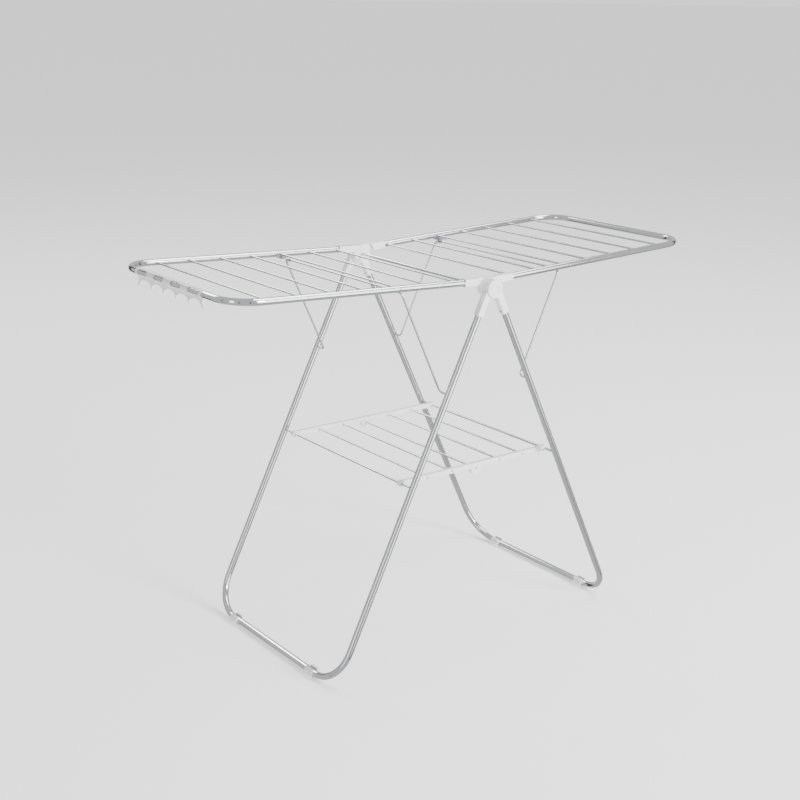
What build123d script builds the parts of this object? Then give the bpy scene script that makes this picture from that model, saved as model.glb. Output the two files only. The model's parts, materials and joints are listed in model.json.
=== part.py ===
"""Folding gull-wing clothes airer: two crossed leg frames, two drying wings with wire
struts, a folding lower shelf and a sock hanger.

Frame: millimetres, +Z up, origin on the floor below the middle of the whole airer.  The wings
reach out along X, every rail lies along Y.  "near" pieces are at -Y and "far" ones at +Y.
The sleeve of the sock hanger stands out past the end of the left wing, so the hub sits a
little to the right of the middle.
"""
import os
from math import asin, atan2, cos, degrees, hypot, radians, sin, sqrt

from build123d import *

# ---- stock -----------------------------------------------------------------------------
TUBE_RADIUS = 8.0            # leg and wing tube
TUBE_WALL = 1.0
RAIL_RADIUS = 2.5            # drying rails of wings and shelf
STRUT_RADIUS = 2.5           # bent wire that props a wing
AXLE_RADIUS = 4.0            # rod through both hubs
SHELF_PIVOT_RADIUS = 3.0     # end rods of the shelf
RUN_FIT = 0.05               # radial clearance of every turning fit

# ---- hub -------------------------------------------------------------------------------
HUB_HEIGHT = 907.0           # hub axle above the floor
SOCKET_SIZE = 18.0           # square section of the plastic sockets
SOCKET_REACH = 74.5          # hub axle to the mouth of a socket
LAYER_GAP = 0.3              # side play between the leg layer and the wing layer
LAP_GAP = 0.4                # side play between two half-lapped discs
LEG_HALF_WIDTH = 275.5       # middle plane of the leg tubes
WING_HALF_WIDTH = LEG_HALF_WIDTH - SOCKET_SIZE - LAYER_GAP
LEG_OFFSET = 9.5             # leg tube axis passes this far outside the hub axle
WING_OFFSET = 14.5           # wing tube axis passes this far above the hub axle
LEG_DISC_RADIUS = 22.5
WING_DISC_RADIUS = WING_OFFSET + SOCKET_SIZE / 2
LEG_RELIEF_RADIUS = LEG_DISC_RADIUS + 0.7
WING_RELIEF_RADIUS = 38.0    # the wing sockets are half as thick up to here
LEG_TUBE_START = 28.0        # hub axle to the hidden end of a leg tube in its socket
WING_TUBE_START = 40.0
CAP_RADIUS = 22.0
CAP_THICKNESS = 3.7
CAP_RING_RADIUS = 15.6
CAP_RING_WIDTH = 1.6
CAP_DISH_RADIUS = 8.6
CAP_ENGRAVING = 0.8
AXLE_IN_CAP = 2.2            # blind seat of the axle end in a cap

# ---- leg frames ------------------------------------------------------------------------
FOOT_SPREAD = 442.0          # hub axle to the bottom tube, level
FOOT_HEIGHT = 12.0           # bottom tube axis above the floor
LEG_BEND = 88.0
FOOT_PLACE = 173.0           # middle of a foot clip along the bottom tube
FOOT_LENGTH = 28.0
FOOT_RADIUS = 12.8
FOOT_MOUTH = 11.0            # opening on top, which snaps over the tube
FOOT_TAB = 3.2

# ---- wings -----------------------------------------------------------------------------
WING_TILT = 2.4              # degrees above level
WING_REACH = 694.0           # hub axle to the end tube
WING_BEND = 74.0
WING_RAILS = 7
FIRST_RAIL = 82.5
RAIL_PITCH = 86.9
RAIL_ENTRY = 3.0             # depth of a rail end inside the tube

# ---- struts and their hooks ------------------------------------------------------------
STRUT_PIVOT_REACH = 272.0    # hub axle to the pin holes in the legs
STRUT_CATCH_REACH = 246.0    # hub axle to the crossbar, along the wing
STRUT_DROP = 11.0            # crossbar below the wing tube axes
STRUT_HALF_WIDTH = 243.0
STRUT_PIN_END = 272.0
STRUT_TOP_BEND = 14.0
STRUT_PIN_BEND = 10.0
HOOK_WALL = 2.0
HOOK_PLAY = 0.5
HOOK_RIVET_REACH = 264.0     # hub axle to the rivet of a hook, just past the third rail
HOOK_TAB_WIDTH = 8.0
HOOK_INNER = 220.0           # the catch itself spans from here
HOOK_OUTER = 228.0           # to here, clear of the bent corner of the strut
HOOK_LIP = 6.0               # length of the floor of a hook
RIVET_RADIUS = 1.6
RIVET_HEAD_RADIUS = 3.2
RIVET_HEAD = 1.2
SCREW_REACH = 67.5           # hub axle to a socket screw, along the tube
SCREW_RADIUS = 1.5
SCREW_HEAD_RADIUS = 2.75
SCREW_HEAD = 1.2

# ---- shelf -----------------------------------------------------------------------------
SHELF_HALF_SPAN = 228.3      # middle hinge to the pivot in a leg, level
SHELF_DROP = 8.0             # middle hinge below the line of the leg pivots
SHELF_HALF_WIDTH = 229.5     # middle plane of the side bars
BAR_THICKNESS = 12.0
BAR_HEIGHT = 13.0
BAR_BOSS_RADIUS = 8.0
BAR_DISC_RADIUS = 15.0
BAR_RELIEF_RADIUS = BAR_DISC_RADIUS + 0.7
RAIL_PROUD = 0.6             # rail ends stand out of the side bars
OPEN_PIVOT_GAP = 0.4         # right shelf rod ends stop this far short of the right legs

# ---- sock hanger -----------------------------------------------------------------------
SLEEVE_MIDDLE = 12.5         # towards the far side, along the end tube of the left wing
SLEEVE_LENGTH = 304.5
SLEEVE_RADIUS = 9.8
SLEEVE_PLAY = 0.08
WINDOWS = 4
WINDOW_LENGTH = 48.0
WINDOW_HEIGHT = 11.8
WINDOW_PITCH = 79.5
WINDOW_TURN = 20.0           # degrees that the windows look upwards
BAYS = 5                     # arches between the prongs, one for each pair of socks
BAY_PITCH = 58.0
BAY_DROP = 15.5              # top of each arch below the tube axis
BAY_RISE = 13.0              # height of the arch itself
WEB_THICKNESS = 4.0
WEB_SHOULDER = 15.0          # where the slanted ends of the web turn into the end prongs
PRONG_WIDTH = 5.5
PRONG_REACH = 31.0           # prong tips below the tube axis
PRONG_SPLAY = 4.0            # the two end prongs lean this far outwards

# ---- worked out ------------------------------------------------------------------------
LEFT, RIGHT = -1, 1
NEAR, FAR = -1, 1
HAND_NAMES = {LEFT: "left", RIGHT: "right"}
SIDE_NAMES = {NEAR: "near", FAR: "far"}
INNER, OUTER = -1, 1
LAPS = {LEFT: INNER, RIGHT: OUTER}
HUB_X = (SLEEVE_RADIUS - TUBE_RADIUS) / 2
HUB = Vector(HUB_X, 0, HUB_HEIGHT)
HUB_DROP = HUB_HEIGHT - FOOT_HEIGHT
LEG_DIAGONAL = hypot(FOOT_SPREAD, HUB_DROP)
LEG_LEAN = atan2(FOOT_SPREAD, HUB_DROP) - asin(LEG_OFFSET / LEG_DIAGONAL)
LEG_REACH = sqrt(LEG_DIAGONAL**2 - LEG_OFFSET**2)
STRUT_PIVOT_ALONG = sqrt(STRUT_PIVOT_REACH**2 - LEG_OFFSET**2)
SHELF_PIVOT_ALONG = (SHELF_HALF_SPAN - LEG_OFFSET * cos(LEG_LEAN)) / sin(LEG_LEAN)
SHELF_HEIGHT = HUB_HEIGHT + LEG_OFFSET * sin(LEG_LEAN) - SHELF_PIVOT_ALONG * cos(LEG_LEAN)
SHELF_RAIL_PLACES = (SHELF_HALF_SPAN / 3, 2 * SHELF_HALF_SPAN / 3)
WING_RAIL_PLACES = [FIRST_RAIL + RAIL_PITCH * number for number in range(WING_RAILS)]
RAIL_HALF_LENGTH = WING_HALF_WIDTH - TUBE_RADIUS + RAIL_ENTRY
BAR_FACE = SHELF_HALF_WIDTH + BAR_THICKNESS / 2
LEG_INNER_FACE = LEG_HALF_WIDTH - TUBE_RADIUS
HUB_FACE = LEG_HALF_WIDTH + SOCKET_SIZE / 2 + LAYER_GAP
ACROSS = (90, 0, 0)          # turns a cylinder to lie along Y
LENGTHWAYS = (0, 90, 0)      # turns a cylinder to lie along X


def leg_plane(hand):
    """Plane of one leg frame: X down the legs, Z outwards, from the point nearest the axle."""
    down = Vector(hand * sin(LEG_LEAN), 0, -cos(LEG_LEAN))
    out = Vector(hand * cos(LEG_LEAN), 0, sin(LEG_LEAN))
    return Plane(origin=HUB + out * LEG_OFFSET, x_dir=down, z_dir=out)


def wing_plane(hand):
    """Plane of one wing: X out along the wing, Z upwards, from the point above the axle."""
    tilt = radians(WING_TILT)
    along = Vector(hand * cos(tilt), 0, sin(tilt))
    up = Vector(-hand * sin(tilt), 0, cos(tilt))
    return Plane(origin=HUB + up * WING_OFFSET, x_dir=along, z_dir=up)


def at(plane, x, y, z, turn=(0, 0, 0)):
    """Place in a frame's own directions."""
    return plane.location * Location((x, y, z), turn)


def save(piece, name):
    """Label a finished piece and write it as its own node."""
    piece.part.label = name
    export_step(piece.part, f"parts/{name}.step")


def bent_tube(plane, reach, half_width, start, bend, drillings, rivet_places, screw_place):
    """U-shaped tube with the holes that its pins, rails, rivets and screws need.

    drillings lists (place along the tube, radius) of holes through the inner wall.
    """
    with BuildPart() as tube:
        with BuildLine(plane):
            path = FilletPolyline(
                (start, half_width),
                (reach, half_width),
                (reach, -half_width),
                (start, -half_width),
                radius=bend,
            )
        with BuildSketch(Plane(origin=path @ 0, z_dir=path % 0)):
            Circle(TUBE_RADIUS)
            Circle(TUBE_RADIUS - TUBE_WALL, mode=Mode.SUBTRACT)
        sweep()
        for side in (NEAR, FAR):
            for place, radius in drillings:
                with Locations(at(plane, place, side * (half_width - TUBE_RADIUS), 0, ACROSS)):
                    Cylinder(radius, TUBE_RADIUS, mode=Mode.SUBTRACT)
            for place in rivet_places:
                with Locations(at(plane, place, side * half_width, 0, ACROSS)):
                    Cylinder(RIVET_RADIUS, 3 * TUBE_RADIUS, mode=Mode.SUBTRACT)
            with Locations(at(plane, screw_place, side * half_width, -TUBE_RADIUS)):
                Cylinder(SCREW_RADIUS, TUBE_RADIUS, mode=Mode.SUBTRACT)
    return tube


def tube_socket(plane, side, half_width, offset, disc_radius, relief_radius, tube_start, lap, bore):
    """Square socket that joins one tube to the hub through a half-lapped disc."""
    middle = side * half_width
    lap_thickness = (SOCKET_SIZE - LAP_GAP) / 2
    disc_middle = side * (half_width + lap * (LAP_GAP + lap_thickness) / 2)
    relief_thickness = SOCKET_SIZE
    relief_middle = side * (half_width + lap * (LAP_GAP - relief_thickness) / 2)
    bore_length = SOCKET_REACH - tube_start
    with BuildPart() as socket:
        with Locations(at(plane, SOCKET_REACH / 2, middle, 0)):
            Box(SOCKET_REACH, SOCKET_SIZE, SOCKET_SIZE)
        with Locations(at(plane, 0, relief_middle, -offset, ACROSS)):
            Cylinder(relief_radius, relief_thickness, mode=Mode.SUBTRACT)
        with Locations(at(plane, 0, disc_middle, -offset, ACROSS)):
            Cylinder(disc_radius, lap_thickness)
            Cylinder(bore, SOCKET_SIZE, mode=Mode.SUBTRACT)
        with Locations(at(plane, tube_start + bore_length / 2, middle, 0, LENGTHWAYS)):
            Cylinder(TUBE_RADIUS, bore_length, mode=Mode.SUBTRACT)
        with Locations(at(plane, SCREW_REACH, middle, -TUBE_RADIUS)):
            Cylinder(SCREW_RADIUS, TUBE_RADIUS, mode=Mode.SUBTRACT)
    return socket


def socket_screws(plane, half_width):
    """The two self-tapping screws that hold a frame's tube ends in their sockets."""
    shank_length = SOCKET_SIZE / 2 - TUBE_RADIUS + TUBE_WALL
    with BuildPart() as screws:
        for side in (NEAR, FAR):
            with Locations(at(plane, SCREW_REACH, side * half_width, -SOCKET_SIZE / 2)):
                Cylinder(
                    SCREW_RADIUS, shank_length, align=(Align.CENTER, Align.CENTER, Align.MIN)
                )
                Cylinder(
                    SCREW_HEAD_RADIUS, SCREW_HEAD, align=(Align.CENTER, Align.CENTER, Align.MAX)
                )
    return screws


def half_lapped_bar(hand, side):
    """Side bar of one shelf half, with its end boss and its half of the middle hinge."""
    lap = LAPS[hand]
    lap_thickness = (BAR_THICKNESS - LAP_GAP) / 2
    middle = side * SHELF_HALF_WIDTH
    disc_middle = side * (SHELF_HALF_WIDTH + lap * (LAP_GAP + lap_thickness) / 2)
    relief_middle = side * (SHELF_HALF_WIDTH + lap * (LAP_GAP - BAR_THICKNESS) / 2)
    hinge_radius = RAIL_RADIUS if hand == LEFT else RAIL_RADIUS + RUN_FIT
    hinge_height = SHELF_HEIGHT - SHELF_DROP
    with BuildPart() as bar:
        with Locations((HUB_X + hand * SHELF_HALF_SPAN / 2, middle, SHELF_HEIGHT)):
            Box(SHELF_HALF_SPAN, BAR_THICKNESS, BAR_HEIGHT)
        with Locations(Location((HUB_X, relief_middle, hinge_height), ACROSS)):
            Cylinder(BAR_RELIEF_RADIUS, BAR_THICKNESS, mode=Mode.SUBTRACT)
        with Locations(Location((HUB_X, disc_middle, hinge_height), ACROSS)):
            Cylinder(BAR_DISC_RADIUS, lap_thickness)
            Cylinder(hinge_radius, BAR_THICKNESS, mode=Mode.SUBTRACT)
        with Locations(Location((HUB_X + hand * SHELF_HALF_SPAN, middle, SHELF_HEIGHT), ACROSS)):
            Cylinder(BAR_BOSS_RADIUS, BAR_THICKNESS)
            Cylinder(SHELF_PIVOT_RADIUS, BAR_THICKNESS, mode=Mode.SUBTRACT)
        for place in SHELF_RAIL_PLACES:
            with Locations(Location((HUB_X + hand * place, middle, SHELF_HEIGHT), ACROSS)):
                Cylinder(RAIL_RADIUS, BAR_THICKNESS, mode=Mode.SUBTRACT)
    return bar


def cross_rod(x, z, radius, half_length):
    """Straight round rod along Y."""
    with BuildPart() as rod:
        with Locations(Location((x, 0, z), ACROSS)):
            Cylinder(radius, 2 * half_length)
    return rod


def foot_clip(hand, side):
    """Plastic saddle that snaps over the bottom tube from below, with a flat sole."""
    sole = Plane(
        origin=(HUB_X + hand * FOOT_SPREAD, side * FOOT_PLACE, FOOT_HEIGHT),
        x_dir=(hand, 0, 0),
        z_dir=(0, -hand, 0),
    )
    with BuildPart() as foot:
        with BuildSketch(sole):
            Circle(FOOT_RADIUS)
            with Locations((0, -FOOT_HEIGHT - FOOT_RADIUS)):
                Rectangle(4 * FOOT_RADIUS, 2 * FOOT_RADIUS, mode=Mode.SUBTRACT)
            with Locations((-TUBE_RADIUS - FOOT_TAB / 2, TUBE_RADIUS - FOOT_TAB / 2)):
                Rectangle(FOOT_TAB, 2 * FOOT_TAB)
            with Locations((0, FOOT_RADIUS)):
                Rectangle(FOOT_MOUTH, 2 * FOOT_RADIUS, mode=Mode.SUBTRACT)
            Circle(TUBE_RADIUS, mode=Mode.SUBTRACT)
        extrude(amount=FOOT_LENGTH / 2, both=True)
    return foot


def strut_wire(hand):
    """U-shaped wire: pins in the legs, arms up to the wing, crossbar in the hooks."""
    pivot = leg_plane(hand).from_local_coords((STRUT_PIVOT_ALONG, 0, 0))
    catch = wing_plane(hand).from_local_coords((STRUT_CATCH_REACH, 0, -STRUT_DROP))
    arm = catch - pivot
    side_on = Plane(origin=pivot, x_dir=arm, z_dir=arm.cross(Vector(0, 1, 0)))
    with BuildPart() as wire:
        with BuildLine(side_on):
            path = FilletPolyline(
                (0, STRUT_PIN_END),
                (0, STRUT_HALF_WIDTH),
                (arm.length, STRUT_HALF_WIDTH),
                (arm.length, -STRUT_HALF_WIDTH),
                (0, -STRUT_HALF_WIDTH),
                (0, -STRUT_PIN_END),
                radius=(STRUT_PIN_BEND, STRUT_TOP_BEND, STRUT_TOP_BEND, STRUT_PIN_BEND),
            )
        with BuildSketch(Plane(origin=path @ 0, z_dir=path % 0)):
            Circle(STRUT_RADIUS)
        sweep()
    return wire


def strut_hooks(plane):
    """Two riveted hooks under a wing, open towards its tip, that sit on the strut crossbar."""
    ceiling = -STRUT_DROP + STRUT_RADIUS + HOOK_PLAY
    floor = -STRUT_DROP - STRUT_RADIUS - HOOK_PLAY
    back = STRUT_CATCH_REACH - STRUT_RADIUS - HOOK_PLAY
    tube_face = WING_HALF_WIDTH - TUBE_RADIUS
    front = HOOK_RIVET_REACH + HOOK_TAB_WIDTH / 2
    plate_length = front - back + HOOK_WALL
    tab_height = RIVET_HEAD_RADIUS - ceiling
    catch_width = HOOK_OUTER - HOOK_INNER
    catch_middle = (HOOK_OUTER + HOOK_INNER) / 2
    low = (Align.MIN, Align.CENTER, Align.MIN)
    with BuildPart() as hooks:
        for side in (NEAR, FAR):
            plate_middle = side * (HOOK_INNER + tube_face) / 2
            with Locations(at(plane, back - HOOK_WALL, plate_middle, ceiling)):
                Box(plate_length, tube_face - HOOK_INNER, HOOK_WALL, align=low)
            with Locations(at(plane, front, side * (tube_face - HOOK_WALL / 2), ceiling)):
                Box(HOOK_TAB_WIDTH, HOOK_WALL, tab_height, align=(Align.MAX, Align.CENTER, Align.MIN))
            with Locations(at(plane, back - HOOK_WALL, side * catch_middle, floor - HOOK_WALL)):
                Box(HOOK_WALL, catch_width, ceiling - floor + 2 * HOOK_WALL, align=low)
                Box(HOOK_LIP, catch_width, HOOK_WALL, align=low)
            with Locations(at(plane, HOOK_RIVET_REACH, side * tube_face, 0, ACROSS)):
                Cylinder(RIVET_RADIUS, 4 * HOOK_WALL, mode=Mode.SUBTRACT)
    return hooks


def hook_rivets(plane):
    """Rivets through the wing tubes that hold the two strut hooks."""
    inner_face = WING_HALF_WIDTH - TUBE_RADIUS - HOOK_WALL
    outer_face = WING_HALF_WIDTH + TUBE_RADIUS
    with BuildPart() as rivets:
        for side in (NEAR, FAR):
            middle = side * (inner_face + outer_face) / 2
            with Locations(at(plane, HOOK_RIVET_REACH, middle, 0, ACROSS)):
                Cylinder(RIVET_RADIUS, outer_face - inner_face)
            for face, out in ((inner_face, -1), (outer_face, 1)):
                head_middle = side * (face + out * RIVET_HEAD / 2)
                with Locations(at(plane, HOOK_RIVET_REACH, head_middle, 0, ACROSS)):
                    Cylinder(RIVET_HEAD_RADIUS, RIVET_HEAD)
    return rivets


def sock_hanger():
    """Windowed sleeve on the end tube of the left wing, with a web of arches and prongs below.

    Built with its sleeve axis along Y through the origin, then moved to the end tube.
    """
    half_width = BAYS * BAY_PITCH / 2
    half_prong = PRONG_WIDTH / 2
    springing = BAY_DROP + BAY_RISE
    half_outline = (
        (SLEEVE_LENGTH / 2, -SLEEVE_RADIUS / 2),
        (half_width + half_prong, -WEB_SHOULDER),
        (half_width + half_prong + PRONG_SPLAY, -PRONG_REACH),
    )
    outline = [(-across, down) for across, down in reversed(half_outline)] + list(half_outline)
    tip = half_width - half_prong + PRONG_SPLAY
    with BuildPart() as hanger:
        with Locations(Location((0, 0, 0), ACROSS)):
            Cylinder(SLEEVE_RADIUS, SLEEVE_LENGTH)
        with BuildSketch(Plane(origin=(0, 0, 0), x_dir=(0, 1, 0), z_dir=(1, 0, 0))):
            with BuildLine():
                Polyline(*outline, close=True)
            make_face()
            with GridLocations(BAY_PITCH, 0, BAYS, 1):
                with Locations((0, -springing)):
                    Ellipse(BAY_PITCH / 2 - half_prong, BAY_RISE, mode=Mode.SUBTRACT)
            with GridLocations(BAY_PITCH, 0, BAYS, 1):
                with Locations((0, -springing)):
                    Rectangle(
                        BAY_PITCH - PRONG_WIDTH,
                        BAY_RISE,
                        align=(Align.CENTER, Align.MAX),
                        mode=Mode.SUBTRACT,
                    )
            for end in (NEAR, FAR):
                with BuildLine():
                    Polyline(
                        (end * (half_width - half_prong), -springing),
                        (end * tip, -PRONG_REACH),
                        (end * (half_width - half_prong), -PRONG_REACH),
                        close=True,
                    )
                make_face(mode=Mode.SUBTRACT)
        extrude(amount=WEB_THICKNESS / 2, both=True)
        with Locations(Location((0, 0, 0), ACROSS)):
            Cylinder(TUBE_RADIUS + SLEEVE_PLAY, 2 * SLEEVE_LENGTH, mode=Mode.SUBTRACT)
        turn = radians(WINDOW_TURN)
        outwards = Plane(origin=(0, 0, 0), x_dir=(0, 1, 0), z_dir=(-cos(turn), 0, sin(turn)))
        with BuildSketch(outwards):
            with GridLocations(WINDOW_PITCH, 0, WINDOWS, 1):
                SlotOverall(WINDOW_LENGTH, WINDOW_HEIGHT)
        extrude(amount=2 * SLEEVE_RADIUS, mode=Mode.SUBTRACT)
    return hanger


os.makedirs("parts", exist_ok=True)

# Leg frames: bent tube, two hub sockets, their screws and two feet each.
for hand in (LEFT, RIGHT):
    name = HAND_NAMES[hand]
    frame = leg_plane(hand)
    pin_holes = (
        (STRUT_PIVOT_ALONG, STRUT_RADIUS + RUN_FIT),
        (SHELF_PIVOT_ALONG, SHELF_PIVOT_RADIUS + RUN_FIT),
    )
    leg_tube = bent_tube(
        frame, LEG_REACH, LEG_HALF_WIDTH, LEG_TUBE_START, LEG_BEND, pin_holes, (), SCREW_REACH
    )
    save(leg_tube, f"{name}_leg_tube")
    axle_bore = AXLE_RADIUS if hand == LEFT else AXLE_RADIUS + RUN_FIT
    for side in (NEAR, FAR):
        leg_socket = tube_socket(
            frame,
            hand * side,
            LEG_HALF_WIDTH,
            LEG_OFFSET,
            LEG_DISC_RADIUS,
            LEG_RELIEF_RADIUS,
            LEG_TUBE_START,
            LAPS[hand],
            axle_bore,
        )
        save(leg_socket, f"{name}_leg_socket_{SIDE_NAMES[side]}")
        save(foot_clip(hand, side), f"{name}_foot_{SIDE_NAMES[side]}")
    save(socket_screws(frame, LEG_HALF_WIDTH), f"{name}_leg_socket_screws")

# Hub axle and the two round caps on its ends.
save(cross_rod(HUB_X, HUB_HEIGHT, AXLE_RADIUS, HUB_FACE + AXLE_IN_CAP), "hub_axle")
for side in (NEAR, FAR):
    cap_plane = Plane(origin=(HUB_X, side * HUB_FACE, HUB_HEIGHT), z_dir=(0, side, 0))
    with BuildPart() as hub_cap:
        with BuildSketch(cap_plane):
            Circle(CAP_RADIUS)
        extrude(amount=CAP_THICKNESS)
        with BuildSketch(cap_plane):
            Circle(AXLE_RADIUS)
        extrude(amount=AXLE_IN_CAP, mode=Mode.SUBTRACT)
        with BuildSketch(cap_plane.offset(CAP_THICKNESS)):
            Circle(CAP_RING_RADIUS)
            Circle(CAP_RING_RADIUS - CAP_RING_WIDTH, mode=Mode.SUBTRACT)
            Circle(CAP_DISH_RADIUS)
        extrude(amount=-CAP_ENGRAVING, mode=Mode.SUBTRACT)
    save(hub_cap, f"hub_cap_{SIDE_NAMES[side]}")

# Wings: bent tube, sockets, screws, rails, and the hooks that sit on the strut.
for hand in (LEFT, RIGHT):
    name = HAND_NAMES[hand]
    wing = wing_plane(hand)
    rail_holes = [(place, RAIL_RADIUS) for place in WING_RAIL_PLACES]
    wing_tube = bent_tube(
        wing,
        WING_REACH,
        WING_HALF_WIDTH,
        WING_TUBE_START,
        WING_BEND,
        rail_holes,
        (HOOK_RIVET_REACH,),
        SCREW_REACH,
    )
    save(wing_tube, f"{name}_wing_tube")
    for side in (NEAR, FAR):
        wing_socket = tube_socket(
            wing,
            hand * side,
            WING_HALF_WIDTH,
            WING_OFFSET,
            WING_DISC_RADIUS,
            WING_RELIEF_RADIUS,
            WING_TUBE_START,
            LAPS[hand],
            AXLE_RADIUS + RUN_FIT,
        )
        save(wing_socket, f"{name}_wing_socket_{SIDE_NAMES[side]}")
    save(socket_screws(wing, WING_HALF_WIDTH), f"{name}_wing_socket_screws")
    for number, place in enumerate(WING_RAIL_PLACES, start=1):
        spot = wing.from_local_coords((place, 0, 0))
        wing_rail = cross_rod(spot.X, spot.Z, RAIL_RADIUS, RAIL_HALF_LENGTH)
        save(wing_rail, f"{name}_wing_rail_{number}")
    save(strut_hooks(wing), f"{name}_strut_hooks")
    save(hook_rivets(wing), f"{name}_hook_rivets")
    save(strut_wire(hand), f"{name}_strut")

# Shelf: two halves on half-lapped middle hinges, the left one carrying the hinge rod.
for hand in (LEFT, RIGHT):
    name = HAND_NAMES[hand]
    for side in (NEAR, FAR):
        save(half_lapped_bar(hand, side), f"{name}_shelf_bar_{SIDE_NAMES[side]}")
    for number, place in enumerate(SHELF_RAIL_PLACES, start=1):
        shelf_rail_x = HUB_X + hand * place
        shelf_rail = cross_rod(shelf_rail_x, SHELF_HEIGHT, RAIL_RADIUS, BAR_FACE + RAIL_PROUD)
        save(shelf_rail, f"{name}_shelf_rail_{number}")
    pivot_end = STRUT_PIN_END if hand == LEFT else LEG_INNER_FACE - OPEN_PIVOT_GAP
    pivot_x = HUB_X + hand * SHELF_HALF_SPAN
    pivot_rod = cross_rod(pivot_x, SHELF_HEIGHT, SHELF_PIVOT_RADIUS, pivot_end)
    save(pivot_rod, f"{name}_shelf_pivot_rod")
hinge_rod = cross_rod(HUB_X, SHELF_HEIGHT - SHELF_DROP, RAIL_RADIUS, BAR_FACE + RAIL_PROUD)
save(hinge_rod, "shelf_hinge_rod")

# Sock hanger on the end tube of the left wing.
end_tube = wing_plane(LEFT).from_local_coords((WING_REACH, 0, 0))
hanger = sock_hanger()
hanger.part.locate(Location((end_tube.X, SLEEVE_MIDDLE, end_tube.Z)))
save(hanger, "sock_hanger")

print(f"leg lean {degrees(LEG_LEAN):.4f} deg, leg reach {LEG_REACH:.3f}")
print(f"shelf height {SHELF_HEIGHT:.3f}, shelf pivot along the leg {SHELF_PIVOT_ALONG:.3f}")
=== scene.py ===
"""Looks of a folding gull-wing clothes airer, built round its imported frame.

The polished tubes, rails and wires are the frame's own nodes with a finish of their own.
Every moulding, hook, rivet and screw is modelled here, in metres, in the frame's axes.
"""

import json
import logging
import math
from collections.abc import Callable
from dataclasses import dataclass
from enum import Enum

import bmesh
import bpy
from mathutils import Matrix, Vector


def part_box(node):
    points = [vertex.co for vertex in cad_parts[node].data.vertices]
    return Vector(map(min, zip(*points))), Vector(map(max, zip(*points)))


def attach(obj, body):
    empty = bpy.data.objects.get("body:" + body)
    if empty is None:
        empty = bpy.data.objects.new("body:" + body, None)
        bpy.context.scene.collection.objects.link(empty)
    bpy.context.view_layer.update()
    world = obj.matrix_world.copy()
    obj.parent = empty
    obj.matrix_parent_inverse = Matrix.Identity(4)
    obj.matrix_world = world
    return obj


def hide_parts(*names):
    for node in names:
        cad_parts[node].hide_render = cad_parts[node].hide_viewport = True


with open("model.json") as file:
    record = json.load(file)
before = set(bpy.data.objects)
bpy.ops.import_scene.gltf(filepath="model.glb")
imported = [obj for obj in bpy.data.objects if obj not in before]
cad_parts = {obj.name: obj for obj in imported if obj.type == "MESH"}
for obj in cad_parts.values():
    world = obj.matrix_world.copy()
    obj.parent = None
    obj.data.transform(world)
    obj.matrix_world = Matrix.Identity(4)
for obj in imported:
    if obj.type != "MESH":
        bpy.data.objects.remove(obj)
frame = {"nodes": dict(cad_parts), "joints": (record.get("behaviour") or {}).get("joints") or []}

LOG = logging.getLogger("airer")
MM = 0.001
QUARTER_TURN = math.pi / 2
ROUND_SIDES = 96  # flats round a disc, a bore or the sleeve
SMALL_SIDES = 40  # flats round a screw, a rivet or a rail seat
DOME_STEPS = 8  # flats across a dome or a rounded rim
MERGE_DISTANCE = MM / 200
Place = tuple[float, float, float]  # a place, a size or a step along X, Y and Z
Tone = tuple[float, float, float, float]  # red, green, blue and cover


class Hand(Enum):
    """The two halves of the airer, by the sign of X."""

    LEFT = -1
    RIGHT = 1

    @property
    def word(self) -> str:
        """The half's name, as node and body names begin."""
        return self.name.lower()


class Side(Enum):
    """The two ends of the hub axle, by the sign of Y."""

    NEAR = -1
    FAR = 1

    @property
    def word(self) -> str:
        """The side's name, as node names end."""
        return self.name.lower()


class Lap(Enum):
    """Which half of the thickness a lapped disc takes, counted from the middle of the airer."""

    INNER = -1
    OUTER = 1


class Cut(Enum):
    """Ways of combining two closed solids."""

    JOIN = "UNION"
    REMOVE = "DIFFERENCE"


LAPS: dict[Hand, Lap] = {Hand.LEFT: Lap.INNER, Hand.RIGHT: Lap.OUTER}


# ---- places read from the frame ------------------------------------------------------------


def middle(node: str) -> Vector:
    """Middle of a frame node's box.

    Args:
        node: Name of the node.

    Returns:
        The point, in metres.
    """
    low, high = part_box(node)
    return (Vector(low) + Vector(high)) / 2


def joint_place(name: str) -> Vector:
    """Place of a joint in the frame.

    Args:
        name: Name of the joint.

    Returns:
        A point on the joint's axis, in metres.
    """
    places = {joint["name"]: Vector(joint["pos_m"]) for joint in frame["joints"]}
    return places[name]


HUB = middle("hub_axle")


@dataclass(frozen=True)
class Axes:
    """Own directions of a leg frame or wing.

    Attributes:
        origin: The point of the tubes' plane nearest the hub axle.
        along: Unit vector from the hub down the tubes.
        up: Unit vector out of the tubes' plane, away from the hub axle.
        hand: The half of the airer that these axes belong to.
    """

    origin: Vector
    along: Vector
    up: Vector
    hand: Hand

    @classmethod
    def through(cls, first: Vector, second: Vector, hand: Hand) -> "Axes":
        """Axes of the tubes whose middle plane holds two points.

        Args:
            first: Point of the plane nearer the hub.
            second: Point of the plane farther from the hub.
            hand: The half of the airer.

        Returns:
            The axes, with their origin beside the hub axle.
        """
        along = (second - first).normalized()
        up = Vector((-hand.value * along.z, 0, hand.value * along.x))
        origin = first + along * (HUB - first).dot(along)
        return cls(Vector((origin.x, 0, origin.z)), along, up, hand)

    @property
    def offset(self) -> float:
        """Distance of the tubes' plane from the hub axle."""
        return (self.origin - HUB).dot(self.up)

    @property
    def matrix(self) -> Matrix:
        """Turns places in these axes into places in the frame."""
        columns = (self.along, self.up.cross(self.along), self.up)
        turn = Matrix([list(row) for row in zip(*columns)])
        return Matrix.Translation(self.origin) @ turn.to_4x4()

    def side_sign(self, side: Side) -> int:
        """Sign of these axes' own Y at one end of the hub axle."""
        return self.hand.value * side.value


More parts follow.
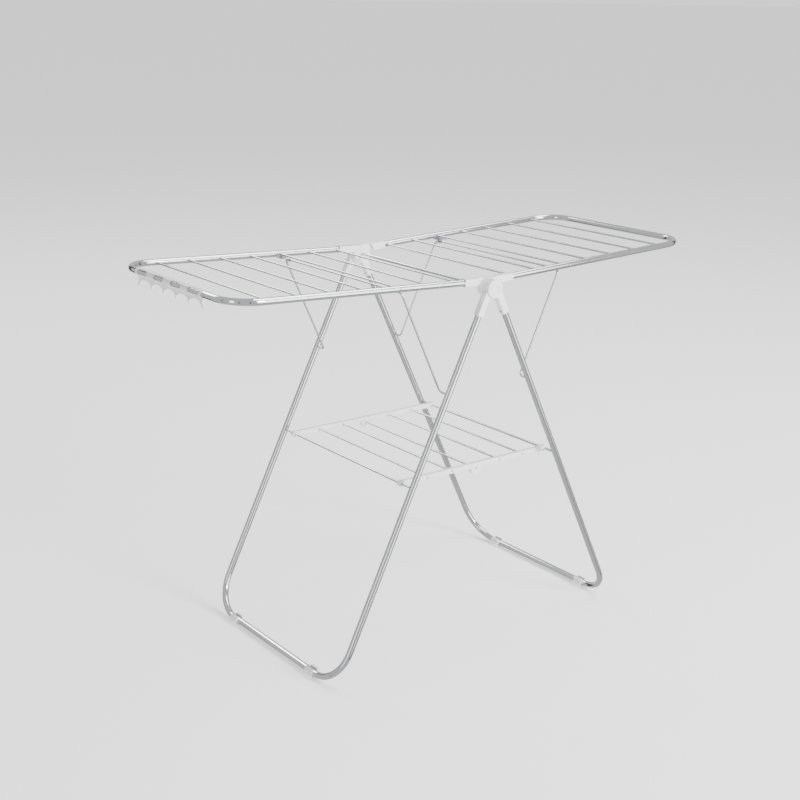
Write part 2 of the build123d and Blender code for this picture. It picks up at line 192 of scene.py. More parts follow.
def leg_axes(hand: Hand) -> Axes:
    """Axes of one leg frame, from the pivots that its tubes hold.

    Args:
        hand: The half of the airer.

    Returns:
        The leg frame's axes.
    """
    strut_pivot = joint_place(f"{hand.word}_strut_swing")
    shelf_pivot = middle(f"{hand.word}_shelf_pivot_rod")
    return Axes.through(strut_pivot, shelf_pivot, hand)


def wing_axes(hand: Hand) -> Axes:
    """Axes of one wing, from its first and last rails.

    Args:
        hand: The half of the airer.

    Returns:
        The wing's axes.
    """
    first = middle(f"{hand.word}_wing_rail_1")
    last = middle(f"{hand.word}_wing_rail_7")
    return Axes.through(first, last, hand)


# ---- bench work: primitives, picks and cuts ------------------------------------------------


def let_go() -> None:
    """Leave edit mode and deselect every object."""
    if bpy.context.object and bpy.context.object.mode != "OBJECT":
        bpy.ops.object.mode_set(mode="OBJECT")
    bpy.ops.object.select_all(action="DESELECT")


def take(piece: bpy.types.Object) -> None:
    """Make one piece the only selected and active object.

    Args:
        piece: The piece.
    """
    let_go()
    piece.select_set(True)
    bpy.context.view_layer.objects.active = piece


def fix_place(piece: bpy.types.Object) -> None:
    """Move a piece's place, turn and scale into its mesh."""
    take(piece)
    bpy.ops.object.transform_apply(location=True, rotation=True, scale=True)


def block(size: Place, centre: Place) -> bpy.types.Object:
    """Rectangular block.

    Args:
        size: Edge lengths along X, Y and Z.
        centre: Middle of the block.

    Returns:
        The block, with its place in its mesh.
    """
    let_go()
    bpy.ops.mesh.primitive_cube_add(size=1, location=centre, scale=size)
    piece = bpy.context.object
    fix_place(piece)
    return piece


def bar(
    radius: float, length: float, centre: Place, axis: str, sides: int = 64
) -> bpy.types.Object:
    """Round bar.

    Args:
        radius: Radius of the bar.
        length: Length along its axis.
        centre: Middle of the bar.
        axis: Letter of the axis that it lies along.
        sides: Number of flats round it.

    Returns:
        The bar, with its place in its mesh.
    """
    turns = {"X": (0, QUARTER_TURN, 0), "Y": (QUARTER_TURN, 0, 0), "Z": (0, 0, 0)}
    let_go()
    bpy.ops.mesh.primitive_cylinder_add(
        vertices=sides, radius=radius, depth=length, location=centre, rotation=turns[axis]
    )
    piece = bpy.context.object
    fix_place(piece)
    return piece


def pick_edges(piece: bpy.types.Object, wanted: Callable[[Vector, Vector], bool]) -> None:
    """Enter edit mode with only the wanted edges selected.

    Args:
        piece: The piece to edit.
        wanted: Says, from an edge's two ends, whether it is selected.
    """
    take(piece)
    bpy.ops.object.mode_set(mode="EDIT")
    bpy.ops.mesh.select_mode(type="EDGE")
    bpy.ops.mesh.select_all(action="DESELECT")
    mesh = bmesh.from_edit_mesh(piece.data)
    for edge in mesh.edges:
        edge.select_set(wanted(edge.verts[0].co, edge.verts[1].co))
    bmesh.update_edit_mesh(piece.data)


def round_long_edges(piece: bpy.types.Object, axis: int, width: float, segments: int = 5) -> None:
    """Round the edges of a block that run along one axis.

    Args:
        piece: The block.
        axis: Index of the axis.
        width: How far the rounding reaches from each edge.
        segments: Number of flats across it.
    """
    others = [index for index in range(3) if index != axis]

    def runs_along(start: Vector, end: Vector) -> bool:
        """True for an edge along the axis."""
        return all(abs(start[index] - end[index]) < MM / 100 for index in others)

    pick_edges(piece, runs_along)
    bpy.ops.mesh.bevel(offset=width, segments=segments, affect="EDGES")
    let_go()


def combine(piece: bpy.types.Object, other: bpy.types.Object, cut: Cut) -> None:
    """Join another solid to a piece or cut it away, and use the other solid up.

    Args:
        piece: The piece that stays.
        other: The solid that is joined or cut away.
        cut: What to do.
    """
    take(piece)
    modifier = piece.modifiers.new("cut", "BOOLEAN")
    modifier.object = other
    modifier.operation = cut.value
    modifier.solver = "EXACT"
    bpy.ops.object.modifier_apply(modifier=modifier.name)
    bpy.data.objects.remove(other, do_unlink=True)


def soften(piece: bpy.types.Object, width: float, segments: int = 3, angle: float = 35.0) -> None:
    """Round every sharp edge a little, as a mould leaves it, and smooth the shading.

    Args:
        piece: The piece.
        width: How far the rounding reaches from each edge.
        segments: Number of flats across it.
        angle: Edges that turn by more degrees than this are rounded.
    """
    take(piece)
    modifier = piece.modifiers.new("soften", "BEVEL")
    modifier.width = width
    modifier.segments = segments
    modifier.limit_method = "ANGLE"
    modifier.angle_limit = math.radians(angle)
    modifier.use_clamp_overlap = True
    modifier.harden_normals = False
    bpy.ops.object.modifier_apply(modifier=modifier.name)
    take(piece)
    bpy.ops.object.shade_smooth_by_angle(angle=math.radians(angle))


def settle(piece: bpy.types.Object, name: str, axes: Axes) -> None:
    """Name a finished piece and move it from its own axes into the frame's.

    Args:
        piece: The piece, modelled in its own axes.
        name: Name for the object and its mesh.
        axes: The axes that it was modelled in.
    """
    piece.name = name
    piece.data.name = name
    piece.matrix_world = axes.matrix
    fix_place(piece)
    let_go()


# ---- finishes ------------------------------------------------------------------------------


@dataclass(frozen=True)
class NodeBench:
    """Short way to lay out the nodes of one material.

    Attributes:
        material: The material that is being made.
    """

    material: bpy.types.Material

    @classmethod
    def start(cls, name: str) -> "NodeBench":
        """Bench for a new material that holds its main shader and nothing else.

        Args:
            name: Name of the material.

        Returns:
            The bench.
        """
        material = bpy.data.materials.new(name)
        material.use_nodes = True
        return cls(material)

    @property
    def sockets(self) -> bpy.types.bpy_prop_collection:
        """Input sockets of the main shader."""
        return self.material.node_tree.nodes["Principled BSDF"].inputs

    def add(self, kind: str, **values: object) -> bpy.types.Node:
        """Add a node and set its properties or input sockets by name.

        Args:
            kind: Blender's name of the node type.
            **values: Property values, or socket values with underscores for spaces.

        Returns:
            The node.
        """
        node = self.material.node_tree.nodes.new(kind)
        for key, value in values.items():
            if hasattr(node, key):
                setattr(node, key, value)
            else:
                node.inputs[key.replace("_", " ")].default_value = value
        return node

    def join(self, out: bpy.types.NodeSocket, into: bpy.types.NodeSocket) -> None:
        """Link an output socket to an input socket."""
        self.material.node_tree.links.new(out, into)

    def noise(self, scale: float, detail: float, roughness: float = 0.5) -> bpy.types.NodeSocket:
        """Add soft noise that is fixed to the piece.

        Args:
            scale: Its fineness, per metre.
            detail: How many finer layers it has.
            roughness: How strong those layers are.

        Returns:
            Its output.
        """
        place = self.add("ShaderNodeTexCoord")
        cloud = self.add("ShaderNodeTexNoise", Scale=scale, Detail=detail, Roughness=roughness)
        self.join(place.outputs["Object"], cloud.inputs["Vector"])
        return cloud.outputs["Fac"]

    def crystals(self, scale: float) -> bpy.types.NodeSocket:
        """Add a crystal pattern that is fixed to the piece.

        Args:
            scale: Its fineness, per metre.

        Returns:
            Its output.
        """
        place = self.add("ShaderNodeTexCoord")
        cells = self.add("ShaderNodeTexVoronoi", Scale=scale)
        self.join(place.outputs["Object"], cells.inputs["Vector"])
        return cells.outputs["Distance"]

    def colour(self, tone: Tone, other: Tone, patches: bpy.types.NodeSocket) -> None:
        """Colour the surface in patches of two tones.

        Args:
            tone: Tone where the pattern is 0.
            other: Tone where it is 1.
            patches: The pattern.
        """
        tint = self.add("ShaderNodeMix", data_type="RGBA")
        tint.inputs[6].default_value = tone
        tint.inputs[7].default_value = other
        self.join(patches, tint.inputs[0])
        self.join(tint.outputs[2], self.sockets["Base Color"])

    def gloss(
        self,
        roughness: tuple[float, float],
        wear: bpy.types.NodeSocket,
        reach: tuple[float, float] = (0.0, 1.0),
    ) -> None:
        """Let the roughness follow a pattern.

        Args:
            roughness: Lowest and highest roughness.
            wear: The pattern.
            reach: Values of the pattern that give the lowest and the highest.
        """
        spread = self.add("ShaderNodeMapRange", From_Min=reach[0], From_Max=reach[1])
        spread.inputs["To Min"].default_value, spread.inputs["To Max"].default_value = roughness
        self.join(wear, spread.inputs["Value"])
        self.join(spread.outputs["Result"], self.sockets["Roughness"])

    def relief(self, height: bpy.types.NodeSocket, strength: float, depth: float) -> None:
        """Raise the surface by a pattern.

        Args:
            height: The pattern.
            strength: Share of the relief that shows.
            depth: Its depth.
        """
        bump = self.add("ShaderNodeBump", Strength=strength, Distance=depth)
        self.join(height, bump.inputs["Height"])
        self.join(bump.outputs["Normal"], self.sockets["Normal"])


def dimmed(tone: Tone, share: float) -> Tone:
    """A tone with its colour turned down to a share of it."""
    return (tone[0] * share, tone[1] * share, tone[2] * share, 1.0)


@dataclass(frozen=True)
class PolishedSteel:
    """Bright polished steel tube or wire, with faint wipe marks and drawing lines.

    Attributes:
        name: Name of the material.
        tone: Colour of the metal.
        roughness: Lowest and highest roughness.
        smudge_scale: Fineness of the wipe marks, per metre.
        dimple: Depth of the fine drawing texture.
        smudge_tone: How far a wipe mark dulls the colour.
        smudge_reach: Values of the marks' noise between which the roughness rises.
        grain_ratio: How much finer the drawing texture is than the wipe marks.
    """

    name: str
    tone: Tone
    roughness: tuple[float, float]
    smudge_scale: float
    dimple: float = 0.01 * MM
    smudge_tone: float = 0.93
    smudge_reach: tuple[float, float] = (0.35, 0.7)
    grain_ratio: float = 60.0

    def material(self) -> bpy.types.Material:
        """Build the node material."""
        bench = NodeBench.start(self.name)
        bench.sockets["Metallic"].default_value = 1.0
        smudge = bench.noise(self.smudge_scale, detail=5.0, roughness=0.6)
        grain = bench.noise(self.smudge_scale * self.grain_ratio, detail=2.0)
        bench.colour(self.tone, dimmed(self.tone, self.smudge_tone), smudge)
        bench.gloss(self.roughness, smudge, self.smudge_reach)
        bench.relief(grain, strength=0.25, depth=self.dimple)
        return bench.material


@dataclass(frozen=True)
class WhiteMoulding:
    """Satin white moulded plastic, with a fine eggshell texture and slight flow marks.

    Attributes:
        name: Name of the material.
        tone: Colour of the plastic.
        shade: Colour in its flow marks.
        roughness: Lowest and highest roughness.
        grain_scale: Fineness of the eggshell texture, per metre.
        grain_depth: Depth of that texture.
        glow: Share of light that passes under the surface.
        glow_depth: How deep that light goes.
        flow_ratio: How much coarser the flow marks are than the eggshell texture.
        refraction: Index of refraction.
    """

    name: str
    tone: Tone
    shade: Tone
    roughness: tuple[float, float]
    grain_scale: float
    grain_depth: float
    glow: float
    glow_depth: float = 2 * MM
    flow_ratio: float = 40.0
    refraction: float = 1.48

    def material(self) -> bpy.types.Material:
        """Build the node material."""
        bench = NodeBench.start(self.name)
        bench.sockets["Subsurface Weight"].default_value = self.glow
        bench.sockets["Subsurface Scale"].default_value = self.glow_depth
        bench.sockets["IOR"].default_value = self.refraction
        flow = bench.noise(self.grain_scale / self.flow_ratio, detail=3.0)
        grain = bench.noise(self.grain_scale, detail=3.0, roughness=0.55)
        bench.colour(self.tone, self.shade, flow)
        bench.gloss(self.roughness, grain)
        bench.relief(grain, strength=0.3, depth=self.grain_depth)
        return bench.material


@dataclass(frozen=True)
class PlatedSteel:
    """Zinc-plated pressed steel of the hooks, rivets and screws, with a cloudy bloom.

    Attributes:
        name: Name of the material.
        tone: Colour of bare plating.
        bloom: Colour of its cloudy patches.
        roughness: Lowest and highest roughness.
        bloom_scale: Fineness of the patches, per metre.
        metallic: How metallic the plating is.
        crystal_ratio: How much finer its crystals are than the patches.
        crystal_depth: Depth of the crystals.
    """

    name: str
    tone: Tone
    bloom: Tone
    roughness: tuple[float, float]
    bloom_scale: float
    metallic: float = 0.9
    crystal_ratio: float = 3.0
    crystal_depth: float = 0.05 * MM

    def material(self) -> bpy.types.Material:
        """Build the node material."""
        bench = NodeBench.start(self.name)
        bench.sockets["Metallic"].default_value = self.metallic
        cloud = bench.noise(self.bloom_scale, detail=6.0, roughness=0.65)
        crystals = bench.crystals(self.bloom_scale * self.crystal_ratio)
        bench.colour(self.tone, self.bloom, cloud)
        bench.gloss(self.roughness, cloud)
        bench.relief(crystals, strength=0.2, depth=self.crystal_depth)
        return bench.material


@dataclass(frozen=True)
class MattCard:
    """Matt card or studio floor, which may give some light of its own.

    Attributes:
        name: Name of the material.
        tone: Its colour.
        glow: Strength of its own light.
        cloud_tone: How far its faint clouds dull the colour.
        cloud_scale: Fineness of the clouds, per metre.
        roughness: Its roughness.
    """

    name: str
    tone: Tone
    glow: float = 0.0
    cloud_tone: float = 0.985
    cloud_scale: float = 3.0
    roughness: float = 0.9

    def material(self) -> bpy.types.Material:
        """Build the node material."""
        bench = NodeBench.start(self.name)
        bench.sockets["Roughness"].default_value = self.roughness
        bench.sockets["Specular IOR Level"].default_value = 0.0
        bench.sockets["Emission Color"].default_value = self.tone
        bench.sockets["Emission Strength"].default_value = self.glow
        cloud = bench.noise(self.cloud_scale, detail=4.0)
        bench.colour(self.tone, dimmed(self.tone, self.cloud_tone), cloud)
        return bench.material


@dataclass(frozen=True)
class Finishes:
    """The finished materials that the sub-assemblies share."""

    tube: bpy.types.Material
    wire: bpy.types.Material
    moulding: bpy.types.Material
    hanger: bpy.types.Material
    fastener: bpy.types.Material
    hook: bpy.types.Material
    floor: bpy.types.Material

    @classmethod
    def make(cls) -> "Finishes":
        """Build every material once."""
        return cls(
            tube=PolishedSteel(
                "polished_tube", (0.66, 0.67, 0.69, 1), (0.06, 0.13), 14.0
            ).material(),
            wire=PolishedSteel(
                "polished_wire", (0.60, 0.61, 0.63, 1), (0.12, 0.22), 20.0
            ).material(),
            moulding=WhiteMoulding(
                name="white_moulding",
                tone=(0.88, 0.88, 0.88, 1),
                shade=(0.84, 0.845, 0.85, 1),
                roughness=(0.28, 0.42),
                grain_scale=2200.0,
                grain_depth=0.03 * MM,
                glow=0.05,
            ).material(),
            hanger=WhiteMoulding(
                name="hanger_moulding",
                tone=(0.90, 0.90, 0.89, 1),
                shade=(0.86, 0.86, 0.855, 1),
                roughness=(0.24, 0.38),
                grain_scale=1800.0,
                grain_depth=0.02 * MM,
                glow=0.10,
            ).material(),
            fastener=PlatedSteel(
                name="plated_fastener",
                tone=(0.46, 0.47, 0.49, 1),
                bloom=(0.34, 0.35, 0.37, 1),
                roughness=(0.22, 0.42),
                bloom_scale=420.0,
            ).material(),
            hook=PlatedSteel(
                name="pressed_hook",
                tone=(0.42, 0.425, 0.44, 1),
                bloom=(0.32, 0.325, 0.34, 1),
                roughness=(0.28, 0.45),
                bloom_scale=300.0,
            ).material(),
            floor=MattCard("pale_floor", (0.86, 0.86, 0.86, 1), glow=0.85).material(),
        )


def dress_node(node: str, material: bpy.types.Material) -> None:
    """Give a frame node a finished material in place of its plain one.

    Args:
        node: Name of the node.
        material: The material.
    """
    for slot in frame["nodes"][node].material_slots:
        slot.material = material
    LOG.info("dressed %s", node)


def dress_piece(
    piece: bpy.types.Object, material: bpy.types.Material, body: str, node: str
) -> None:
    """Finish a modelled piece: material, body, slot and the node that it stands for.

    Args:
        piece: The piece.
        material: Its material.
        body: The body that it moves with.
        node: The frame node that it replaces.
    """
    piece.data.materials.clear()
    piece.data.materials.append(material)
    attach(piece, body)
    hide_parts(node)
    LOG.info("built %s: %d faces", piece.name, len(piece.data.polygons))


# ---- bench work: plates and turned pieces --------------------------------------------------


def wire_path(points: list[Place]) -> bpy.types.Object:
    """Open run of edges, drawn from one corner of a plane by extruding it from point to point.

    Args:
        points: The points, in order.

    Returns:
        The object, left in edit mode with its last point selected.
    """
    let_go()
    bpy.ops.mesh.primitive_plane_add(size=MM, location=points[0])
    piece = bpy.context.object
    fix_place(piece)
    bpy.ops.object.mode_set(mode="EDIT")
    bpy.ops.mesh.select_mode(type="VERT")
    bpy.ops.mesh.select_all(action="SELECT")
    bpy.ops.mesh.merge(type="CENTER")
    for start, end in zip(points, points[1:]):
        step = tuple(b - a for a, b in zip(start, end))
        bpy.ops.mesh.extrude_vertices_move(TRANSFORM_OT_translate={"value": step})
    return piece


def plate(
    outline: list[Place], thickness: Place
) -> bpy.types.Object:
    """Flat plate cut to an outline.

    Args:
        outline: Corners of the outline, in one plane, not closed.
        thickness: Step from one face of the plate to the other.

    Returns:
        The plate, with its place in its mesh.
    """
    piece = wire_path(outline + outline[:1])
    bpy.ops.mesh.select_all(action="SELECT")
    bpy.ops.mesh.remove_doubles(threshold=MERGE_DISTANCE)
    bpy.ops.mesh.edge_face_add()
    bpy.ops.mesh.extrude_region_move(TRANSFORM_OT_translate={"value": thickness})
    bpy.ops.mesh.select_all(action="SELECT")
    bpy.ops.mesh.normals_make_consistent(inside=False)
    let_go()
    return piece


def turning(
    profile: list[tuple[float, float]], centre: Place, axis: str, sides: int
) -> bpy.types.Object:
    """Turned solid, spun from its half outline.

    Args:
        profile: (place along the axis, radius) of each corner, from the axis back to the axis,
            or closed on itself for a ring.
        centre: Where the axis has its zero place.
        axis: Letter of the axis.
        sides: Number of steps round it.

    Returns:
        The solid, with its place in its mesh.
    """
    lengthways = {"X": Vector((1, 0, 0)), "Y": Vector((0, 1, 0)), "Z": Vector((0, 0, 1))}[axis]
    outwards = Vector((1, 0, 0)) if axis == "Z" else Vector((0, 0, 1))
    middle_point = Vector(centre)
    points = [
        tuple(middle_point + lengthways * along + outwards * radius) for along, radius in profile
    ]
    piece = wire_path(points)
    bpy.ops.mesh.select_all(action="SELECT")
    bpy.ops.mesh.spin(steps=sides, angle=2 * math.pi, center=centre, axis=tuple(lengthways))
    bpy.ops.mesh.select_all(action="SELECT")
    bpy.ops.mesh.remove_doubles(threshold=MERGE_DISTANCE)
    bpy.ops.mesh.normals_make_consistent(inside=False)
    let_go()
    return piece


def arc(
    centre: tuple[float, float], radii: tuple[float, float], start: float, end: float, steps: int
) -> list[tuple[float, float]]:
    """Points of an elliptical arc in a plane.

    Args:
        centre: Middle of the arc.
        radii: Its two half axes.
        start: First angle, in degrees.
        end: Last angle, in degrees.
        steps: Number of straight runs.

    Returns:
        The points, both ends included.
    """
    angles = [math.radians(start + (end - start) * step / steps) for step in range(steps + 1)]
    return [
        (centre[0] + radii[0] * math.cos(angle), centre[1] + radii[1] * math.sin(angle))
        for angle in angles
    ]


def copy_of(piece: bpy.types.Object, name: str, scale: tuple[int, int, int]) -> bpy.types.Object:
    """Copy a piece with a mesh of its own, mirrored in the planes through the origin.

    Args:
        piece: The piece, with its place in its mesh.
        name: Name for the copy.
        scale: 1 or -1 along each axis.

    Returns:
        The copy.
    """
    take(piece)
    bpy.ops.object.duplicate(linked=False)
    twin = bpy.context.object
    twin.scale = scale
    fix_place(twin)
    bpy.ops.object.mode_set(mode="EDIT")
    bpy.ops.mesh.select_all(action="SELECT")
    bpy.ops.mesh.normals_make_consistent(inside=False)
    let_go()
    twin.name = name
    twin.data.name = name
    return twin


def gather(pieces: list[bpy.types.Object], name: str) -> bpy.types.Object:
    """Join separate solids into one object.

    Args:
        pieces: The solids.
        name: Name for the object.

    Returns:
        The object.
    """
    let_go()
    for piece in pieces:
        piece.select_set(True)
    bpy.context.view_layer.objects.active = pieces[0]
    bpy.ops.object.join()
    whole = bpy.context.object
    whole.name = name
    whole.data.name = name
    return whole


# ---- mouldings of the hub ------------------------------------------------------------------


@dataclass(frozen=True)
class LapSocket:
    """Square plastic socket that joins a tube to the hub through a half-lapped disc.

    Attributes:
        half_width: Middle plane of the tube, from the middle of the airer.
        disc_radius: Radius of the lapped disc.
        relief_radius: How far from the axle the socket is half as thick.
        tube_start: Hub axle to the hidden end of the tube.
        size: Edge of the square section.
        reach: Hub axle to the mouth.
        corner: Rounding of the four long edges.
        bore: Radius of the hole that the tube sits in.
        lap_gap: Side play between two lapped discs.
        edge: Rounding of the remaining edges.
    """

    half_width: float
    disc_radius: float
    relief_radius: float
    tube_start: float
    size: float = 18 * MM
    reach: float = 74.5 * MM
    corner: float = 2.4 * MM
    bore: float = 8.5 * MM
    lap_gap: float = 0.4 * MM
    edge: float = 0.55 * MM

    def build(self, axes: Axes, side: Side, lap: Lap, name: str) -> bpy.types.Object:
        """Model the socket and put it in its place.

        Args:
            axes: The tube frame's own directions.
            side: End of the hub axle.
            lap: Half of the thickness that the disc takes.
            name: Name for the piece.

        Returns:
            The socket.
        """
        sign = axes.side_sign(side)
        half_thickness = (self.size - self.lap_gap) / 2
        middle_y = sign * self.half_width
        disc_y = sign * (self.half_width + lap.value * (self.lap_gap + half_thickness) / 2)
        relief_y = sign * (self.half_width + lap.value * (self.lap_gap - self.size) / 2)
        body = block((self.reach, self.size, self.size), (self.reach / 2, middle_y, 0))
        round_long_edges(body, 0, self.corner)
        relief = bar(self.relief_radius, self.size, (0, relief_y, -axes.offset), "Y", ROUND_SIDES)
        combine(body, relief, Cut.REMOVE)
        disc = bar(self.disc_radius, half_thickness, (0, disc_y, -axes.offset), "Y", ROUND_SIDES)
        combine(body, disc, Cut.JOIN)
        bore_length = self.reach - self.tube_start + self.size
        bore_middle = self.tube_start + bore_length / 2
        combine(body, bar(self.bore, bore_length, (bore_middle, middle_y, 0), "X"), Cut.REMOVE)
        soften(body, self.edge)
        settle(body, name, axes)
        return body


@dataclass(frozen=True)
class SocketScrew:
    """Cross-recessed pan-head screw that holds a tube in its socket.

    Attributes:
        reach: Hub axle to the screw, along the tube.
        face: Tube axis to the socket's underside.
        head_radius: Radius of the head.
        head_height: Height of the head.
        shank_radius: Radius of the shank.
        shank_length: Length of the shank.
        slot_length: Length of each arm pair of the cross recess.
        slot_width: Width of its arms.
        slot_depth: Depth of the recess.
        dome: Height of the dome of the head.
        slot_lead: How far the cutter of the cross recess stands out of the head.
        edge_round: How far its edges are rounded.
    """

    reach: float = 67.5 * MM
    face: float = 9 * MM
    head_radius: float = 2.75 * MM
    head_height: float = 1.2 * MM
    shank_radius: float = 1.5 * MM
    shank_length: float = 2 * MM
    slot_length: float = 3.2 * MM
    slot_width: float = 0.7 * MM
    slot_depth: float = 0.7 * MM
    dome: float = 0.5 * MM
    slot_lead: float = 0.2 * MM
    edge_round: float = 0.08 * MM

    def build(self, across: float) -> bpy.types.Object:
        """Model one screw below a tube axis.

        Args:
            across: Place of the tube axis along the frame's own Y.

        Returns:
            The screw, in the tube frame's own directions.
        """
        crown = arc(
            (-self.head_height + self.dome, 0), (self.dome, self.head_radius), 180, 90, DOME_STEPS
        )
        profile = crown + [(0, self.head_radius), (0, self.shank_radius)]
        profile += [(self.shank_length, self.shank_radius), (self.shank_length, 0)]
        screw = turning(profile, (self.reach, across, -self.face), "Z", SMALL_SIDES)
        recess_z = -self.face - self.head_height + self.slot_depth / 2 - self.slot_lead
        for size in (
            (self.slot_length, self.slot_width, self.slot_depth),
            (self.slot_width, self.slot_length, self.slot_depth),
        ):
            combine(screw, block(size, (self.reach, across, recess_z)), Cut.REMOVE)
        soften(screw, self.edge_round, 2)
        return screw

    def pair(self, half_width: float, axes: Axes, name: str) -> bpy.types.Object:
        """The near and the far screw of one tube frame, as one object.

        Args:
            half_width: Middle plane of the tubes.
            axes: The tube frame's own directions.
            name: Name for the object.

        Returns:
            The two screws.
        """
        first = self.build(half_width)
        second = copy_of(first, name, (1, -1, 1))
        whole = gather([first, second], name)
        settle(whole, name, axes)
        return whole


@dataclass(frozen=True)
class HubCap:
    """Round cap on each end of the hub axle, with an engraved ring and a shallow dish.

    Attributes:
        radius: Outer radius.
        thickness: Height over the socket's face.
        rim: Rounding of the outer edge.
        ring_radius: Outer radius of the engraved ring.
        ring_width: Width of the ring.
        dish_radius: Radius of the dish.
        depth: Depth of the ring and of the dish.
        ease: Slope of the engraving's walls.
        edge_round: How far its edges are rounded.
        sides: Flats round the cap.
        dish_floor: Share of the ring's depth at the middle of the dish.
        dish_steps: Steps of the dish's wall, as degrees round its curve and share of its radius.
    """

    radius: float = 22 * MM
    thickness: float = 3.7 * MM
    rim: float = 1.3 * MM
    ring_radius: float = 15.6 * MM
    ring_width: float = 2.0 * MM
    dish_radius: float = 8.6 * MM
    depth: float = 1.3 * MM
    ease: float = 0.25 * MM
    edge_round: float = 0.2 * MM
    sides: int = 128
    dish_floor: float = 0.9
    dish_steps: tuple[tuple[float, float], ...] = ((45, 1.0), (75, 0.94), (90, 0.85))

    def build(self, side: Side, body: str, finish: bpy.types.Material) -> None:
        """Model the cap on one end of the axle and dress it.

        Args:
            side: End of the axle.
            body: Body that it rides on.
            finish: Its material.
        """
        node = f"hub_cap_{side.word}"
        low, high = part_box(node)
        inner_face = high.y if side is Side.NEAR else low.y
        top = self.thickness
        rounding = arc(
            (top - self.rim, self.radius - self.rim), (self.rim, self.rim), 90, 0, DOME_STEPS
        )
        ring_inner = self.ring_radius - self.ring_width
        outline = [(0, 0), (0, self.radius)] + rounding
        outline += [
            (top, self.ring_radius),
            (top - self.depth, self.ring_radius - self.ease),
            (top - self.depth, ring_inner + self.ease),
            (top, ring_inner),
            (top, self.dish_radius + self.ease),
        ]
        outline += [
            (top - self.depth * math.sin(math.radians(angle)), self.dish_radius * share)
            for angle, share in self.dish_steps
        ]
        outline.append((top - self.depth * self.dish_floor, 0))
        profile = [(side.value * along, radius) for along, radius in outline]
        cap = turning(profile, (HUB.x, inner_face, HUB.z), "Y", self.sides)
        cap.name = node + "_face"
        cap.data.name = cap.name
        soften(cap, self.edge_round, 3, 30)
        dress_piece(cap, finish, body, node)


# ---- leg frames ----------------------------------------------------------------------------


@dataclass(frozen=True)
class FootClip:
    """Plastic saddle that snaps over the bottom tube, with a ribbed finger tab.

    Attributes:
        radius: Outer radius.
        length: Length along the tube.
        bore: Radius of the hole for the tube.
        mouth: Width of the opening on top.
        tab: Thickness of the finger tab.
        tab_height: Height of the tab.
        ribs: Number of grip ribs on the tab.
        rib: Width and height of a rib.
        edge_round: How far its edges are rounded.
        grip_round: How far the edges of its grip ribs are rounded.
        spread: How far the bottom tube's axis is from the hub, along X.
        height: Height of that axis above the floor.
        tube_radius: Radius of the tube.
        rib_share: Share of the tab's height that a grip rib covers.
    """

    radius: float = 12.8 * MM
    length: float = 28 * MM
    bore: float = 8.05 * MM
    mouth: float = 11 * MM
    tab: float = 3.2 * MM
    tab_height: float = 6.4 * MM
    ribs: int = 4
    rib: float = 0.9 * MM
    edge_round: float = 0.6 * MM
    grip_round: float = 0.25 * MM
    spread: float = 442 * MM
    height: float = 12 * MM
    tube_radius: float = 8 * MM
    rib_share: float = 0.8

    def build(self, hand: Hand, side: Side) -> bpy.types.Object:
        """Model one clip where its node is.

        Args:
            hand: Half of the airer.
            side: Near or far clip.

        Returns:
            The clip.
        """
        node = f"{hand.word}_foot_{side.word}"
        place = middle(node)
        low, _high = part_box(node)
        axis_x = HUB.x + hand.value * self.spread
        axis_z = self.height
        inner_reach = 2 * self.radius
        clip = bar(self.radius, self.length, (axis_x, place.y, axis_z), "Y", ROUND_SIDES)
        ground = block(
            (4 * self.radius, 2 * self.length, inner_reach), (axis_x, place.y, low.z - self.radius)
        )
        combine(clip, ground, Cut.REMOVE)
        tab_x = axis_x - hand.value * (self.tube_radius + self.tab / 2)
        tab_z = axis_z + self.tube_radius - self.tab / 2
        combine(
            clip, block((self.tab, self.length, self.tab_height), (tab_x, place.y, tab_z)), Cut.JOIN
        )
        mouth = block(
            (self.mouth, 2 * self.length, inner_reach), (axis_x, place.y, axis_z + self.radius)
        )
        combine(clip, mouth, Cut.REMOVE)
        combine(
            clip,
            bar(self.bore, 2 * self.length, (axis_x, place.y, axis_z), "Y", ROUND_SIDES),
            Cut.REMOVE,
        )
        soften(clip, self.edge_round)
        pitch = self.length / (self.ribs + 1)
        rib_x = tab_x - hand.value * self.tab / 2
        grips = []
        for number in range(self.ribs):
            rib_y = place.y + pitch * (number - (self.ribs - 1) / 2)
            grip = block(
                (self.rib, self.rib, self.tab_height * self.rib_share), (rib_x, rib_y, tab_z)
            )
            soften(grip, self.grip_round, 2)
            grips.append(grip)
        return gather([clip] + grips, node + "_saddle")


@dataclass(frozen=True)
class LegFrame:
    """One crossed leg frame: bent tube, two sockets, their screws and two feet.

    Attributes:
        hand: Half of the airer.
        finishes: The shared materials.
        socket: Its hub sockets.
        screw: The screws of the sockets.
        foot: Its feet.
    """

    hand: Hand
    finishes: Finishes
    socket: LapSocket = LapSocket(275.5 * MM, 22.5 * MM, 23.2 * MM, 28 * MM)
    screw: SocketScrew = SocketScrew()
    foot: FootClip = FootClip()

    def build(self) -> None:
        """Build and dress every piece of the frame."""
        word = self.hand.word
        body = f"{word}_frame"
        axes = leg_axes(self.hand)
        dress_node(f"{word}_leg_tube", self.finishes.tube)
        for side in Side:
            node = f"{word}_leg_socket_{side.word}"
            socket = self.socket.build(axes, side, LAPS[self.hand], node + "_moulding")
            dress_piece(socket, self.finishes.moulding, body, node)
            foot = self.foot.build(self.hand, side)
            dress_piece(
                foot, self.finishes.moulding, body, f"{word}_foot_{side.word}"
            )
        node = f"{word}_leg_socket_screws"
        screws = self.screw.pair(self.socket.half_width, axes, node + "_pair")
        dress_piece(screws, self.finishes.fastener, body, node)


